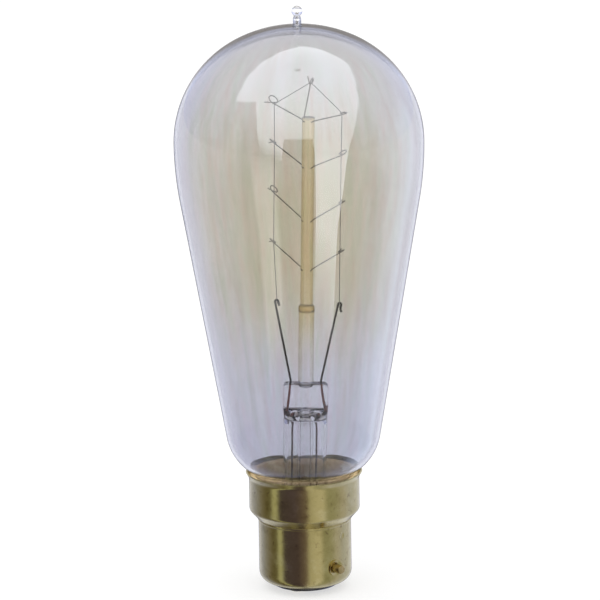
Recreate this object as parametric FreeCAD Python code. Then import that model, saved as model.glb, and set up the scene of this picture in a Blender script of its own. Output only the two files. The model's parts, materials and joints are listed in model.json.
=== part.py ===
import FreeCAD, Part
import math
import os

# Carbon filament bulb: a pear-shaped glass lamp in a brass bayonet cap.
# Millimetres, +Z from the cap to the crown. The origin is on the lamp's axis, level with the two
# bayonet pins. The pins lie along X and the two contacts along Y.

Vector = FreeCAD.Vector
origin = Vector(0, 0, 0)
along_x = Vector(1, 0, 0)
along_y = Vector(0, 1, 0)
along_z = Vector(0, 0, 1)
straight = math.radians(0.05)

# Brass cap shell, heights above the pins
barrel_diameter = 22.0
barrel_top_height = 10.3
barrel_top_bend = 0.6
step_height = 2.3
skirt_height = 9.1
skirt_foot_bend = 1.0
lip_flare = 0.7
lip_flare_height = 1.2
lip_bend = 1.2
cap_wall = 0.35
cap_foot_depth = 5.1
cap_foot_bend = 2.6
cap_foot_rim = 0.3
step_bead_radius = 0.45
step_bead_drop = 0.1
step_bead_rise = 0.16

# Bayonet pins
pin_diameter = 2.1
pin_shank_diameter = 1.7
pin_reach = 2.45
pin_shoulder_rise = 0.2
pin_inner_length = 0.9
pin_edge = 0.3
pin_collar_diameter = 3.9
pin_collar_rise = 0.32

# Pressed locating dimple on the barrel
dimple_angle = 13.0
dimple_height = 7.4
dimple_ball_diameter = 4.0
dimple_depth = 0.2

# Black glass insulator and the contacts
insulator_drop = 0.9
insulator_face_bend = 0.5
insulator_edge = 0.35
insulator_pin_gap = 0.5
contact_spacing = 8.6
contact_length = 9.0
contact_width = 4.4
contact_thickness = 0.55
contact_rise = 0.25
solder_diameter = 3.4
solder_rise = 0.5

# Glass bulb: its neck stands in the skirt, on a ring of cement
neck_diameter = 23.6
neck_rise = 0.6
neck_length = 7.05
neck_fillet = 2.5
heel_radius = 12.0
cone_half_angle = 9.8
flank_radius = 79.0
bulb_diameter = 58.6
widest_height = 101.5
shoulder_offset = 2.2
crown_drop = 4.6
glass_wall = 0.8
cement_thickness = 0.95
cement_rise = 0.5
cement_depth = 4.7

# Tip on the crown
tip_bead_diameter = 2.6
tip_height = 4.8
tip_waist_diameter = 1.5
tip_foot_diameter = 2.2

# Stem: it leans a little from its seal in the neck, towards the right-hand lead
stem_lean = 1.4
lead_plane_angle = 50.0
flare_length = 21.8
flare_tube_diameter = 10.4
flare_wall = 0.8
flare_rim_overlap = 0.6
press_height = 8.4
press_spread = 0.2
press_thickness = 4.6
press_shoulder_height = 4.0
press_edge = 0.5
exhaust_diameter = 3.9
exhaust_bore = 2.3
exhaust_drop = 7.2
exhaust_hole_rise = 1.7
column_diameter = 3.7
column_bore = 2.2
column_seat = 2.0
column_length = 18.6
column_collar_diameter = 3.9
column_collar_height = 1.6
rod_diameter = 3.0
rod_seat = 1.3
rod_crown_gap = 20.8
rod_edge = 0.35

# Anchors: each is a wire arm with an eye and a tail, and its root is sealed in the rod.
# The side rows are spread evenly between the first and the last, apart from small offsets.
anchor_wire = 0.3
anchor_root_depth = 1.0
anchor_plane_turn = -27.0
anchor_eye_radius = 0.72
anchor_eye_turn = 325.0
anchor_eye_pitch = 0.42
anchor_tail = 2.0
first_row_drop = 0.8
last_row_rise = 9.3
row_offsets = [0.0, 0.9, 0.0, 0.0]
anchor_rises_left = [3.0, 4.3, 5.1, 5.0]
anchor_rises_right = [2.2, 3.3, 4.5, 4.6]
anchor_reach_left = 8.65
anchor_reach_right = 8.4
top_anchor_margin = 0.5
top_anchor_reach = 1.4
top_anchor_rise = 8.3
top_anchor_seat = 1.5
touch_gap = 0.045

# Filament and leads
filament_wire = 0.18
filament_bend = 0.45
lead_wire = 0.5
lead_foot_spacing = 7.2
lead_top_spacing = 15.0
lead_length = 19.8
lead_seal_depth = 1.0
lead_rise = 0.6
lead_bend = 1.5
lead_left_extra = 0.5
fold_leg = 1.5
fold_tail = 0.7
fold_tail_turn = 38.0
filament_grip_depth = 0.9
seal_wire = 0.45
seal_foot_rise = 1.3
seal_knee_rise = 4.2
seal_left_foot = 4.1
seal_right_knee = 4.0
seal_right_foot = 4.45
outer_wire = 0.45
outer_left_run = 3.1
outer_right_run = 2.7
outer_top_drop = 2.0
outer_foot_rise = 1.8
outer_bend = 1.2
spike_wire = 0.3
spike_length = 2.9

# Places that several pieces share
skirt_foot_height = barrel_top_height + step_height
lip_height = skirt_foot_height + skirt_height
skirt_diameter = neck_diameter + 2 * (cement_thickness + cap_wall)
neck_rim_height = skirt_foot_height + neck_rise
insulator_face_depth = cap_foot_depth + insulator_drop
contact_face_height = -insulator_face_depth - contact_rise
shoulder_radius = bulb_diameter / 2 - shoulder_offset
crown_radius = shoulder_radius + math.hypot(shoulder_offset, crown_drop)
crown_height = widest_height - crown_drop + crown_radius
press_foot_height = neck_rim_height + flare_length
press_top_height = press_foot_height + press_height
column_top_height = press_top_height + column_length
rod_top_height = crown_height - glass_wall - rod_crown_gap


def on_profile(radius, height):
    return Vector(radius, 0, height)


def arc_about(centre, radius, start_angle, end_angle):
    # Arc in the XZ plane, angles in radians from +X towards +Z
    def at(angle):
        return centre + Vector(radius * math.cos(angle), 0, radius * math.sin(angle))
    return Part.Arc(at(start_angle), at((start_angle + end_angle) / 2), at(end_angle)).toShape()


def unit(vector):
    return vector * (1 / vector.Length)


def rounded_path(points, radii):
    # Straight runs joined by tangent arcs, one radius for each inner point
    edges = []
    start = points[0]
    for before, corner, after, radius in zip(points, points[1:], points[2:], radii):
        arrive = unit(corner - before)
        leave = unit(after - corner)
        turn = arrive.getAngle(leave)
        if radius <= 0 or turn < straight:
            edges.append(Part.makeLine(start, corner))
            start = corner
            continue
        reach = radius * math.tan(turn / 2)
        into = corner - arrive * reach
        out = corner + leave * reach
        inward = unit(leave - arrive)
        middle = corner + inward * (radius / math.cos(turn / 2) - radius)
        if (into - start).Length > 1e-5:
            edges.append(Part.makeLine(start, into))
        edges.append(Part.Arc(into, middle, out).toShape())
        start = out
    if (points[-1] - start).Length > 1e-5:
        edges.append(Part.makeLine(start, points[-1]))
    return edges


def inset_profile(points, radii, wall):
    # The same profile moved inwards by the wall, for an outline drawn from the top down
    runs = [unit(b - a) for a, b in zip(points, points[1:])]
    normals = [Vector(run.z, 0, -run.x) for run in runs]
    inner = [points[0] + normals[0] * wall]
    inner_radii = []
    for corner, radius, first, second, run in zip(points[1:-1], radii, normals, normals[1:], runs[1:]):
        half = (first + second) * 0.5
        inner.append(corner + half * (wall / half.dot(half)))
        turns_in = first.dot(run) > 0
        inner_radii.append(radius - wall if turns_in else radius + wall)
    inner.append(points[-1] + normals[-1] * wall)
    return inner, inner_radii


def turned(edges):
    # Solid of revolution about Z from a closed profile
    return Part.Face(Part.Wire(edges)).revolve(origin, along_z, 360)


def turned_outline(points, radii):
    # Solid of revolution from an outline that starts and ends on the axis
    edges = rounded_path(points, radii)
    edges.append(Part.makeLine(points[-1], points[0]))
    return turned(edges)


def turned_sheet(points, radii, wall):
    # Thin sheet turned about Z: the outline and its inner copy, closed at both ends
    inner, inner_radii = inset_profile(points, radii, wall)
    edges = rounded_path(points, radii)
    edges.append(Part.makeLine(points[-1], inner[-1]))
    edges += rounded_path(list(reversed(inner)), list(reversed(inner_radii)))
    edges.append(Part.makeLine(inner[0], points[0]))
    return turned(edges)


def ring(outer_radius, inner_radius, bottom, top):
    outer = Part.makeCylinder(outer_radius, top - bottom, Vector(0, 0, bottom))
    return outer.cut(Part.makeCylinder(inner_radius, top - bottom, Vector(0, 0, bottom)))


def wire_along(edges, diameter):
    # Round wire swept along a path that starts with a straight run
    path = Part.Wire(edges)
    first = edges[0]
    start = first.valueAt(first.FirstParameter)
    heading = first.tangentAt(first.FirstParameter)
    section = Part.Wire(Part.makeCircle(diameter / 2, start, heading))
    return path.makePipeShell([section], True, False)


def bent_wire(points, radii, diameter):
    return wire_along(rounded_path(points, radii), diameter)


def place_on_stem(shape):
    # From the stem's own frame, where the leads lie along X, to its leaning place in the lamp
    placed = shape.copy()
    placed.rotate(Vector(0, 0, neck_rim_height), along_y, stem_lean)
    placed.rotate(origin, along_z, lead_plane_angle)
    return placed


def bulb_profile(inset):
    # Edges of the bulb from the crown to the neck's rim, moved inwards by the inset
    slope = math.radians(cone_half_angle)
    shoulder = on_profile(shoulder_offset, widest_height)
    crown = on_profile(0, widest_height - crown_drop)
    crown_turn = math.atan2(crown_drop, shoulder_offset)
    flank = on_profile(bulb_diameter / 2 - flank_radius, widest_height)
    outwards = Vector(math.cos(slope), 0, -math.sin(slope))
    downwards = Vector(-math.sin(slope), 0, -math.cos(slope))
    cone_top = flank + outwards * flank_radius
    fillet = on_profile(neck_diameter / 2 + neck_fillet, neck_rim_height + neck_length)
    # The heel touches the cone's line and the neck's fillet
    start = cone_top - outwards * heel_radius
    ahead = (fillet - start).dot(downwards)
    aside = (fillet - start).dot(outwards)
    cone_length = ahead - math.sqrt((heel_radius + neck_fillet) ** 2 - aside ** 2)
    cone_foot = cone_top + downwards * cone_length
    heel = cone_foot - outwards * heel_radius
    heel_end = math.atan2(fillet.z - heel.z, fillet.x - heel.x)
    neck_x = neck_diameter / 2 - inset
    return [
        arc_about(crown, crown_radius - inset, math.pi / 2, crown_turn),
        arc_about(shoulder, shoulder_radius - inset, crown_turn, 0),
        arc_about(flank, flank_radius - inset, 0, -slope),
        Part.makeLine(cone_top - outwards * inset, cone_foot - outwards * inset),
        arc_about(heel, heel_radius - inset, -slope, heel_end),
        arc_about(fillet, neck_fillet + inset, math.pi + heel_end, math.pi),
        Part.makeLine(on_profile(neck_x, fillet.z), on_profile(neck_x, neck_rim_height)),
    ]


def bulb_body(inset):
    # Solid body inside the bulb's profile
    edges = bulb_profile(inset)
    top = edges[0].Vertexes[0].Point
    bottom = edges[-1].Vertexes[-1].Point
    axis_foot = Vector(0, 0, bottom.z)
    edges.append(Part.makeLine(bottom, axis_foot))
    edges.append(Part.makeLine(axis_foot, top))
    return turned(edges)


def make_glass_envelope():
    return bulb_body(0).cut(bulb_body(glass_wall))


def make_dome_tip():
    # Drawn tip: a foot that spreads on the crown, a waist and a round bead
    bead_radius = tip_bead_diameter / 2
    bead = on_profile(0, crown_height + tip_height - bead_radius)
    waist = tip_waist_diameter / 2
    joint = math.asin(waist / bead_radius)
    joint_height = bead.z - bead_radius * math.cos(joint)
    foot = tip_foot_diameter / 2
    spread = foot - waist
    foot_height = crown_height + spread
    root = crown_height - spread
    profile = [
        arc_about(bead, bead_radius, math.pi / 2, joint - math.pi / 2),
        Part.makeLine(on_profile(waist, joint_height), on_profile(waist, foot_height)),
        arc_about(on_profile(foot, foot_height), spread, math.pi, math.pi * 1.5),
        Part.makeLine(on_profile(foot, crown_height), on_profile(foot, root)),
        Part.makeLine(on_profile(foot, root), on_profile(0, root)),
        Part.makeLine(on_profile(0, root), on_profile(0, bead.z + bead_radius)),
    ]
    return turned(profile).cut(bulb_body(0))


def cap_foot_radius():
    return barrel_diameter / 2 - cap_foot_bend - cap_foot_rim


def shell_outline():
    # Outside of the brass shell from the lip down to the curled foot
    skirt = skirt_diameter / 2
    barrel = barrel_diameter / 2
    points = [
        on_profile(skirt + lip_flare, lip_height),
        on_profile(skirt, lip_height - lip_flare_height),
        on_profile(skirt, skirt_foot_height),
        on_profile(barrel, barrel_top_height),
        on_profile(barrel, -cap_foot_depth),
        on_profile(cap_foot_radius(), -cap_foot_depth),
    ]
    return points, [lip_bend, skirt_foot_bend, barrel_top_bend, cap_foot_bend]


def pin_collar():
    # Raised ring where the pin's hole was pierced
    outside = barrel_diameter / 2 + pin_collar_rise
    blank = Part.makeCylinder(pin_collar_diameter / 2, outside, origin, along_x)
    crater = Part.makeCone(pin_shank_diameter / 2, pin_collar_diameter / 2 - cap_wall / 2, pin_collar_rise,
                           Vector(barrel_diameter / 2, 0, 0), along_x)
    core = Part.makeCylinder(barrel_diameter / 2 - cap_wall / 2, pin_collar_diameter * 2,
                             Vector(0, 0, -pin_collar_diameter))
    return blank.cut(core).cut(crater)


def for_each_side(shape):
    # The shape as made on the +X side, and turned to the -X side
    other = shape.copy()
    other.rotate(origin, along_z, 180)
    return [shape, other]


def make_cap_shell():
    points, radii = shell_outline()
    shell = turned_sheet(points, radii, cap_wall)
    barrel = barrel_diameter / 2
    bead_height = barrel_top_height - step_bead_drop
    bead = Part.makeTorus(barrel + step_bead_rise - step_bead_radius, step_bead_radius, along_z * bead_height)
    inside = Part.makeCylinder(barrel - cap_wall / 2, barrel_top_height + cap_foot_depth,
                               Vector(0, 0, -cap_foot_depth))
    shell = shell.fuse(bead.cut(inside))
    hole = Part.makeCylinder(pin_shank_diameter / 2, barrel_diameter, origin, along_x)
    for collar in for_each_side(pin_collar()):
        shell = shell.fuse(collar)
    for bore in for_each_side(hole):
        shell = shell.cut(bore)
    ball_radius = dimple_ball_diameter / 2
    ball = Part.makeSphere(ball_radius, Vector(barrel + ball_radius - dimple_depth, 0, dimple_height))
    ball.rotate(origin, along_z, dimple_angle)
    return shell.cut(ball)


def make_bayonet_pins():
    # Shank through the wall, and a thicker free end with a rounded edge
    barrel = barrel_diameter / 2
    start = barrel - cap_wall - pin_inner_length
    shoulder = barrel + pin_shoulder_rise
    end = barrel + pin_reach
    head = pin_diameter / 2
    shank = pin_shank_diameter / 2
    pin = turned_outline([on_profile(0, end), on_profile(head, end), on_profile(head, shoulder),
                          on_profile(shank, shoulder), on_profile(shank, start), on_profile(0, start)],
                         [pin_edge, 0, 0, 0])
    pin.rotate(origin, along_y, 90)
    return for_each_side(pin)


def contact_outline(length, width):
    # Closed outline with round ends, along X, centred on the -Z face of the +Y contact
    half_run = (length - width) / 2
    round_end = width / 2
    centre_y = contact_spacing / 2
    corners = [Vector(-half_run, centre_y - round_end, 0), Vector(half_run, centre_y - round_end, 0),
               Vector(half_run, centre_y + round_end, 0), Vector(-half_run, centre_y + round_end, 0)]
    right_end = Vector(half_run + round_end, centre_y, 0)
    left_end = Vector(-half_run - round_end, centre_y, 0)
    return Part.Wire([
        Part.makeLine(corners[0], corners[1]),
        Part.Arc(corners[1], right_end, corners[2]).toShape(),
        Part.makeLine(corners[2], corners[3]),
        Part.Arc(corners[3], left_end, corners[0]).toShape(),
    ])


def contact_axis(height):
    return Vector(0, contact_spacing / 2, height)


def contact_plate():
    plate = Part.Face(contact_outline(contact_length, contact_width)).extrude(along_z * contact_thickness)
    plate.translate(along_z * contact_face_height)
    return plate.cut(solder_plug())


def solder_plug():
    return Part.makeCylinder(solder_diameter / 2, contact_thickness, contact_axis(contact_face_height))


def contact_solder():
    # Plug that fills the plate's eyelet round the lead, with a domed face
    half = solder_diameter / 2
    ball_radius = (half ** 2 + solder_rise ** 2) / (2 * solder_rise)
    face = contact_face_height
    ball = Part.makeSphere(ball_radius, contact_axis(face - solder_rise + ball_radius))
    slab = Part.makeCylinder(half * 2, solder_rise, contact_axis(face - solder_rise))
    return ball.common(slab).fuse(solder_plug())


def make_cap_insulator():
    points, radii = shell_outline()
    inner, inner_radii = inset_profile(points, radii, cap_wall)
    wall_x = inner[-2].x
    opening = cap_foot_radius()
    top = -pin_shank_diameter / 2 - insulator_pin_gap
    outline = [
        on_profile(0, top),
        on_profile(wall_x, top),
        on_profile(wall_x, inner[-2].z),
        on_profile(opening, inner[-1].z),
        on_profile(opening, -cap_foot_depth),
        on_profile(opening - insulator_edge, -insulator_face_depth),
        on_profile(0, -insulator_face_depth),
    ]
    return turned_outline(outline, [0, inner_radii[-1], 0, 0, insulator_face_bend])


def make_cap_cement():
    neck = neck_diameter / 2
    bottom = neck_rim_height + cement_rise
    return ring(neck + cement_thickness, neck, bottom, bottom + cement_depth)


def flare_sheet():
    # Tube that spreads into the neck, in the stem's own frame
    tube = flare_tube_diameter / 2
    rim = neck_diameter / 2 - glass_wall + flare_rim_overlap
    spread = rim - tube
    under = spread + flare_wall
    rim_foot = neck_rim_height + flare_wall
    centre = on_profile(rim, rim_foot + under)
    edges = [
        Part.makeLine(on_profile(tube, press_foot_height), on_profile(tube, centre.z)),
        arc_about(centre, spread, math.pi, math.pi * 1.5),
        Part.makeLine(on_profile(rim, centre.z - spread), on_profile(rim, centre.z - under)),
        arc_about(centre, under, math.pi * 1.5, math.pi),
        Part.makeLine(on_profile(tube - flare_wall, centre.z), on_profile(tube - flare_wall, press_foot_height)),
        Part.makeLine(on_profile(tube - flare_wall, press_foot_height), on_profile(tube, press_foot_height)),
    ]
    return turned(edges)


def make_stem_flare():
    neck = ring(bulb_diameter / 2, neck_diameter / 2 - glass_wall, 0, widest_height)
    return place_on_stem(flare_sheet()).cut(neck)


def press_block():
    # Tube end squeezed flat: a round blank cut to its side view, in the stem's own frame
    width = flare_tube_diameter + press_spread
    blank = Part.makeCylinder(width / 2, press_height, Vector(0, 0, press_foot_height))
    rims = [edge for edge in blank.Edges if edge.BoundBox.ZMin > press_top_height - 1e-6]
    blank = blank.makeFillet(press_edge, rims)
    foot = flare_tube_diameter / 2
    flat = press_thickness / 2
    knee = press_foot_height + press_shoulder_height
    side = [Vector(0, foot, press_foot_height), Vector(0, foot * 0.96, press_foot_height + press_edge),
            Vector(0, flat, knee), Vector(0, flat, press_top_height), Vector(0, 0, press_top_height)]
    right = rounded_path(side, [press_edge, press_shoulder_height / 2, press_edge])
    right.append(Part.makeLine(side[-1], Vector(0, 0, press_foot_height)))
    right.append(Part.makeLine(Vector(0, 0, press_foot_height), side[0]))
    half_slab = Part.Face(Part.Wire(right)).extrude(along_x * width)
    half_slab.translate(along_x * (-width / 2))
    slab = half_slab.fuse(half_slab.mirror(origin, along_y)).removeSplitter()
    return blank.common(slab)


def exhaust_passage():
    # Bore from the exhaust tube up into the press, and out through its front
    height = press_foot_height + exhaust_hole_rise
    bore = Part.makeCylinder(exhaust_bore / 2, exhaust_hole_rise, Vector(0, 0, press_foot_height))
    crown = Part.makeSphere(exhaust_bore / 2, Vector(0, 0, height))
    hole = Part.makeCylinder(exhaust_bore / 2, flare_tube_diameter, Vector(0, 0, height), along_y * -1)
    return bore.fuse(crown).fuse(hole)


def make_exhaust_tube():
    # Sealed off at its lower end
    outer = exhaust_diameter / 2
    inner = exhaust_bore / 2
    top = press_foot_height
    tip = neck_rim_height - exhaust_drop
    shoulder = tip + exhaust_diameter
    hollow_foot = shoulder - inner
    body = turned_outline([on_profile(0, top), on_profile(outer, top), on_profile(outer, shoulder),
                           on_profile(0, tip)], [0, outer])
    hollow = turned_outline([on_profile(0, top), on_profile(inner, top), on_profile(inner, shoulder),
                             on_profile(0, hollow_foot)], [0, inner])
    return body.cut(hollow)


def make_stem_column():
    # Clear tube from the press, gathered in round the rod's foot
    outer = column_diameter / 2
    collar = column_collar_diameter / 2
    top = column_top_height
    foot = press_top_height - column_seat
    collar_foot = top - column_collar_height
    body = turned_outline([
        on_profile(0, top + rod_edge), on_profile(rod_diameter / 2, top + rod_edge), on_profile(collar, top),
        on_profile(collar, (top + collar_foot) / 2), on_profile(outer, collar_foot), on_profile(outer, foot),
        on_profile(0, foot),
    ], [0, rod_edge, rod_edge, rod_edge, rod_edge])
    bore_foot = press_top_height - rod_edge
    bore_top = top - rod_seat - rod_edge
    bore = Part.makeCylinder(column_bore / 2, bore_top - bore_foot, Vector(0, 0, bore_foot))
    ends = [edge for edge in bore.Edges if edge.BoundBox.ZLength < 1e-6]
    return body.cut(bore.makeFillet(column_bore / 4, ends)).cut(rod_blank())


def rod_blank():
    foot = column_top_height - rod_seat
    rod = Part.makeCylinder(rod_diameter / 2, rod_top_height - foot, Vector(0, 0, foot))
    ends = [edge for edge in rod.Edges if edge.BoundBox.ZLength < 1e-6]
    return rod.makeFillet(rod_edge, ends)


def arc_from(start, heading, end):
    # Arc that leaves the start along the heading and reaches the end
    chord = end - start
    run = unit(chord)
    side = heading - run * heading.dot(run)
    turn = heading.getAngle(run)
    middle = (start + end) * 0.5 + unit(side) * (chord.Length / 2 * math.tan(turn / 2))
    return Part.Arc(start, middle, end).toShape()


def biarc(start, heading, end, arrival):
    # Two arcs that meet tangent to each other and to both headings
    chord = end - start
    both = heading + arrival
    bend = 2 * (1 - heading.dot(arrival))
    slack = chord.dot(both)
    reach = (math.sqrt(slack ** 2 + bend * chord.dot(chord)) - slack) / bend
    joint = (start + heading * reach + end - arrival * reach) * 0.5
    first = arc_from(start, heading, joint)
    back = arc_from(end, arrival * -1, joint)
    second = Part.Arc(joint, back.valueAt((back.FirstParameter + back.LastParameter) / 2), end).toShape()
    return [first, second]


def eye_offset(squareness):
    # How far the filament bears from the eye's centre, towards the arm's root.
    # Squareness is the cosine of the arm's slope against the filament's normal plane.
    return anchor_eye_radius - ((anchor_wire + filament_wire) / 2 + touch_gap) / squareness


def make_anchor(root, arm, sideways, length, squareness, buried):
    # Arm from its buried root to the eye, one curl, and a short tail
    tangent = root + arm * (length + eye_offset(squareness))
    centre = tangent + sideways * anchor_eye_radius
    normal = arm.cross(sideways)
    turn = math.radians(anchor_eye_turn)
    steps = 2
    climb = anchor_eye_pitch / (2 * math.pi)

    def on_eye(angle):
        around = arm * math.sin(angle) - sideways * math.cos(angle)
        return centre + around * anchor_eye_radius + normal * (climb * angle)

    def heading(angle):
        along = (arm * math.cos(angle) + sideways * math.sin(angle)) * anchor_eye_radius
        return unit(along + normal * climb)

    start = root - arm * buried
    edges = [Part.makeLine(start, tangent)]
    edges += biarc(tangent, arm, on_eye(turn / steps), heading(turn / steps))
    for step in range(1, steps):
        low = turn * step / steps
        high = turn * (step + 1) / steps
        edges += biarc(on_eye(low), heading(low), on_eye(high), heading(high))
    edges.append(Part.makeLine(on_eye(turn), on_eye(turn) + heading(turn) * anchor_tail))
    return wire_along(edges, anchor_wire)


def side_direction(side):
    # Horizontal direction of the right (+1) or left (-1) row of anchors, in the stem's own frame
    turn = math.radians(anchor_plane_turn)
    return Vector(math.cos(turn), math.sin(turn), 0) * side


def side_reach(side):
    return anchor_reach_right if side > 0 else anchor_reach_left


def row_height(row):
    first = rod_top_height - first_row_drop
    last = column_top_height + last_row_rise
    return first + (last - first) * row / (len(row_offsets) - 1) + row_offsets[row]


def anchor_geometry(side, row):
    # Root on the rod's surface, the arm's direction, the eye's sideways direction, the arm's length
    # and its squareness to the upright filament
    out = side_direction(side)
    run = side_reach(side) - rod_diameter / 2
    rise = anchor_rises_right[row] if side > 0 else anchor_rises_left[row]
    root = out * (rod_diameter / 2) + along_z * row_height(row)
    arm = unit(out * run + along_z * rise)
    length = math.hypot(run, rise)
    return root, arm, along_z.cross(out), length, run / length


def top_anchor_geometry():
    # The top anchor rises from the rod's end, and its eye faces along the filament
    root = Vector(top_anchor_margin - rod_diameter / 2, 0, rod_top_height)
    arm = unit(along_x * top_anchor_reach + along_z * top_anchor_rise)
    chord = side_direction(1)
    sideways = unit(arm.cross(chord))
    return root, arm, sideways, math.hypot(top_anchor_reach, top_anchor_rise), 1


def eye_point(geometry):
    # Where the filament passes through an eye: beside the wire, three quarters of the way round
    root, arm, sideways, length, squareness = geometry
    level = arm.cross(sideways) * (anchor_eye_pitch * 0.75)
    return root + arm * length + sideways * anchor_eye_radius + level


def make_anchors():
    anchors = {"anchor_top": make_anchor(*top_anchor_geometry(), top_anchor_seat)}
    for side, name in ((-1, "left"), (1, "right")):
        for row in range(len(row_offsets)):
            anchors[f"anchor_{name}_{row + 1}"] = make_anchor(*anchor_geometry(side, row), anchor_root_depth)
    return anchors


def lead_run(side):
    # Foot, knee and top of a lead, before the fold, in the plane of the leads
    foot = Vector(side * lead_foot_spacing / 2, 0, press_top_height - lead_seal_depth)
    knee = Vector(foot.x, 0, press_top_height + lead_rise)
    extra = lead_left_extra if side < 0 else 0
    top = Vector(side * lead_top_spacing / 2, 0, press_top_height + lead_length + extra - lead_wire / 2)
    return foot, knee, top


def fold_width():
    # Between the centre lines of a fold's two legs, which hold the filament between them
    return lead_wire + filament_wire + 2 * touch_gap


def make_inner_lead(side):
    # Stiff lead whose end is folded over the filament, towards +X on both leads.
    # The right fold ends in a splayed tail.
    foot, knee, top = lead_run(side)
    along = unit(top - knee)
    across = Vector(along.z, 0, -along.x)
    fold = fold_width()
    back = top + across * fold
    leg = back - along * fold_leg
    points = [foot, knee, top, back, leg]
    radii = [lead_bend, fold / 2, fold / 2]
    if side > 0:
        splay = math.radians(fold_tail_turn)
        points.append(leg + (across * math.sin(splay) - along * math.cos(splay)) * fold_tail)
        radii.append(lead_wire)
    return bent_wire(points, radii, lead_wire)


def grip_points(side):
    # The filament's end lies across the fold, and leaves it on the side of its anchors
    foot, knee, top = lead_run(side)
    along = unit(top - knee)
    across = Vector(along.z, 0, -along.x)
    middle = top + across * (fold_width() / 2) - along * filament_grip_depth
    clear = lead_wire / 2 + filament_wire
    behind = -side
    return [middle - along_y * (behind * clear), middle + along_y * (behind * (clear + touch_gap))]


def arcs_through(points, radii):
    # Corners moved outwards, so that each rounded corner still passes through its point
    moved = list(points)
    for place, radius in enumerate(radii, 1):
        arrive = unit(points[place] - points[place - 1])
        leave = unit(points[place + 1] - points[place])
        turn = arrive.getAngle(leave)
        if turn > straight:
            moved[place] = points[place] - unit(leave - arrive) * (radius / math.cos(turn / 2) - radius)
    return moved


def make_filament():
    left = [eye_point(anchor_geometry(-1, row)) for row in range(len(row_offsets))]
    right = [eye_point(anchor_geometry(1, row)) for row in range(len(row_offsets))]
    start = grip_points(-1)
    end = grip_points(1)
    points = start + left[::-1] + [eye_point(top_anchor_geometry())] + right + end[::-1]
    radii = [filament_bend / 2] + [filament_bend] * (len(points) - 4) + [filament_bend / 2]
    return bent_wire(arcs_through(points, radii), radii, filament_wire)


def make_seal_wire(side):
    top = Vector(side * lead_foot_spacing / 2, 0, press_top_height - lead_seal_depth)
    foot_x = seal_right_foot if side > 0 else -seal_left_foot
    knee_x = seal_right_knee if side > 0 else (top.x + foot_x) / 2
    knee = Vector(knee_x, 0, press_foot_height + seal_knee_rise)
    foot = Vector(foot_x, 0, press_foot_height + seal_foot_rise)
    return bent_wire([top, knee, foot], [outer_bend], seal_wire)


def make_outer_lead(side):
    # From the seal wire's foot, down beside the exhaust tube, and across to its contact.
    # The path is drawn in the lamp's frame, because the contact doesn't lean with the stem.
    # On the left a clipped spike of the joint points down beside it.
    top_x = seal_right_foot if side > 0 else -seal_left_foot
    run_x = outer_right_run if side > 0 else -outer_left_run
    on_stem = [Vector(top_x, 0, press_foot_height + seal_foot_rise),
               Vector(run_x, 0, press_foot_height - outer_top_drop),
               Vector(run_x, 0, neck_rim_height + outer_foot_rise)]
    points = [place_on_stem(Part.Vertex(point)).Point for point in on_stem]
    eyelet_y = side * contact_spacing / 2
    points.append(Vector(0, eyelet_y, 0))
    points.append(Vector(0, eyelet_y, contact_face_height))
    wire = bent_wire(points, [outer_bend, outer_bend * 3, outer_bend], outer_wire)
    if side > 0:
        return wire
    spike = [on_stem[0], on_stem[0] - along_z * spike_length]
    return wire.fuse(place_on_stem(bent_wire(spike, [], spike_wire)))


def build_parts():
    parts = {}
    parts["glass_envelope"] = make_glass_envelope()
    parts["dome_tip"] = make_dome_tip()
    parts["stem_flare"] = make_stem_flare()
    parts["exhaust_tube"] = place_on_stem(make_exhaust_tube())

    anchors = make_anchors()
    rod = rod_blank()
    for anchor in anchors.values():
        rod = rod.cut(anchor)
    parts["arbor_rod"] = place_on_stem(rod)
    for name, anchor in anchors.items():
        parts[name] = place_on_stem(anchor)

    column = make_stem_column()
    parts["stem_column"] = place_on_stem(column)
    parts["filament"] = place_on_stem(make_filament())

    press = press_block().cut(exhaust_passage()).cut(column_blank())
    press = place_on_stem(press)
    for side, name in ((-1, "left"), (1, "right")):
        lead = place_on_stem(make_inner_lead(side))
        seal = place_on_stem(make_seal_wire(side))
        outer = make_outer_lead(side)
        seal = seal.cut(lead).cut(outer)
        for wire in (lead, seal, outer):
            press = press.cut(wire)
        parts["inner_lead_" + name] = lead
        parts["seal_wire_" + name] = seal
        parts["outer_lead_" + name] = outer
    parts["stem_press"] = press

    parts["cap_shell"] = make_cap_shell()
    parts["cap_cement"] = make_cap_cement()
    pin_right, pin_left = make_bayonet_pins()
    parts["bayonet_pin_right"] = pin_right
    parts["bayonet_pin_left"] = pin_left

    insulator = make_cap_insulator()
    for side, name in ((-1, "left"), (1, "right")):
        plate = contact_plate()
        solder = contact_solder()
        if side < 0:
            plate.rotate(origin, along_z, 180)
            solder.rotate(origin, along_z, 180)
        lead = parts["outer_lead_" + name]
        parts["contact_plate_" + name] = plate
        parts["contact_solder_" + name] = solder.cut(lead)
        insulator = insulator.cut(plate).cut(solder).cut(lead)
    parts["cap_insulator"] = insulator
    return parts


def column_blank():
    # The column's foot as a plain plug, for its seat in the press
    foot = press_top_height - column_seat
    return Part.makeCylinder(column_diameter / 2, column_seat, Vector(0, 0, foot))


os.makedirs("parts", exist_ok=True)
for node, solid in build_parts().items():
    solid.exportStep(f"parts/{node}.step")
    print(node, len(solid.Solids), solid.isValid(), round(solid.Volume, 2))
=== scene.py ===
import json
import math
import bpy
from mathutils import Matrix, Vector

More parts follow.
